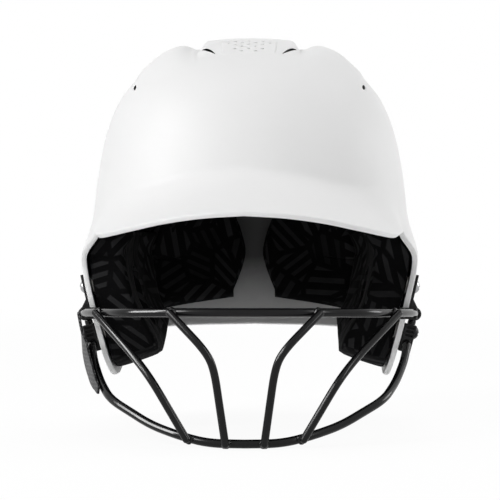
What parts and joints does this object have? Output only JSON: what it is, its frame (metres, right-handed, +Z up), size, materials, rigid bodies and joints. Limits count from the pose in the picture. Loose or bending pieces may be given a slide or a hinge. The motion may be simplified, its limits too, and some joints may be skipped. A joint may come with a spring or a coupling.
{
  "type": "batting helmet with face mask",
  "caption": "Batting helmet: hard shell with bill, two ear flaps and raised crown vents, fabric liner pads, and a bent wire face cage held by clips and screws.",
  "frame": {"origin": "middle of the bounding box's footprint, level with the cage's lowest point", "axes": "+Z up, the wearer faces -Y, +X to the wearer's left; X=0 is the plane of symmetry, apart from the side plate"},
  "size_m": [0.2098, 0.2946, 0.2434],
  "materials": {
    "shell": "matte white, moulded",
    "vent_panel": "matte white, perforated",
    "foam": "expanded foam, charcoal",
    "liner": "knitted, black with a charcoal geometric print",
    "cage": "gloss black coating on steel wire",
    "side_plate": "black with a grey grain",
    "clip": "satin black",
    "rubber": "matte black",
    "screw": "dark plated",
    "nut": "zinc plated"
  },
  "bodies": {
    "root": {"outer_shell": "shell", "crown_vent_panel": "vent_panel", "brow_foam": "foam", "crown_foam": "foam", "side_foam_left": "foam", "side_foam_right": "foam", "rear_foam_left": "foam", "rear_foam_right": "foam", "brow_pad": "liner", "crown_pad": "liner", "side_pad_left": "liner", "side_pad_right": "liner", "rear_pad_left": "liner", "rear_pad_right": "liner", "ear_pad_left": "liner", "ear_pad_right": "liner", "cage_top_wire": "cage", "cage_bottom_wire": "cage", "cage_inner_strut_left": "cage", "cage_inner_strut_right": "cage", "cage_outer_strut_left": "cage", "cage_outer_strut_right": "cage", "cage_side_plate": "side_plate", "upper_clip_left": "clip", "upper_clip_right": "clip", "lower_clip_left": "clip", "lower_clip_right": "clip", "spacer_block_left": "rubber", "spacer_block_right": "rubber", "upper_screw_left": "screw", "upper_screw_right": "screw", "lower_screw_left": "screw", "lower_screw_right": "screw", "upper_tee_nut_left": "nut", "upper_tee_nut_right": "nut", "lower_tee_nut_left": "nut", "lower_tee_nut_right": "nut"}
  },
  "joints": []
}
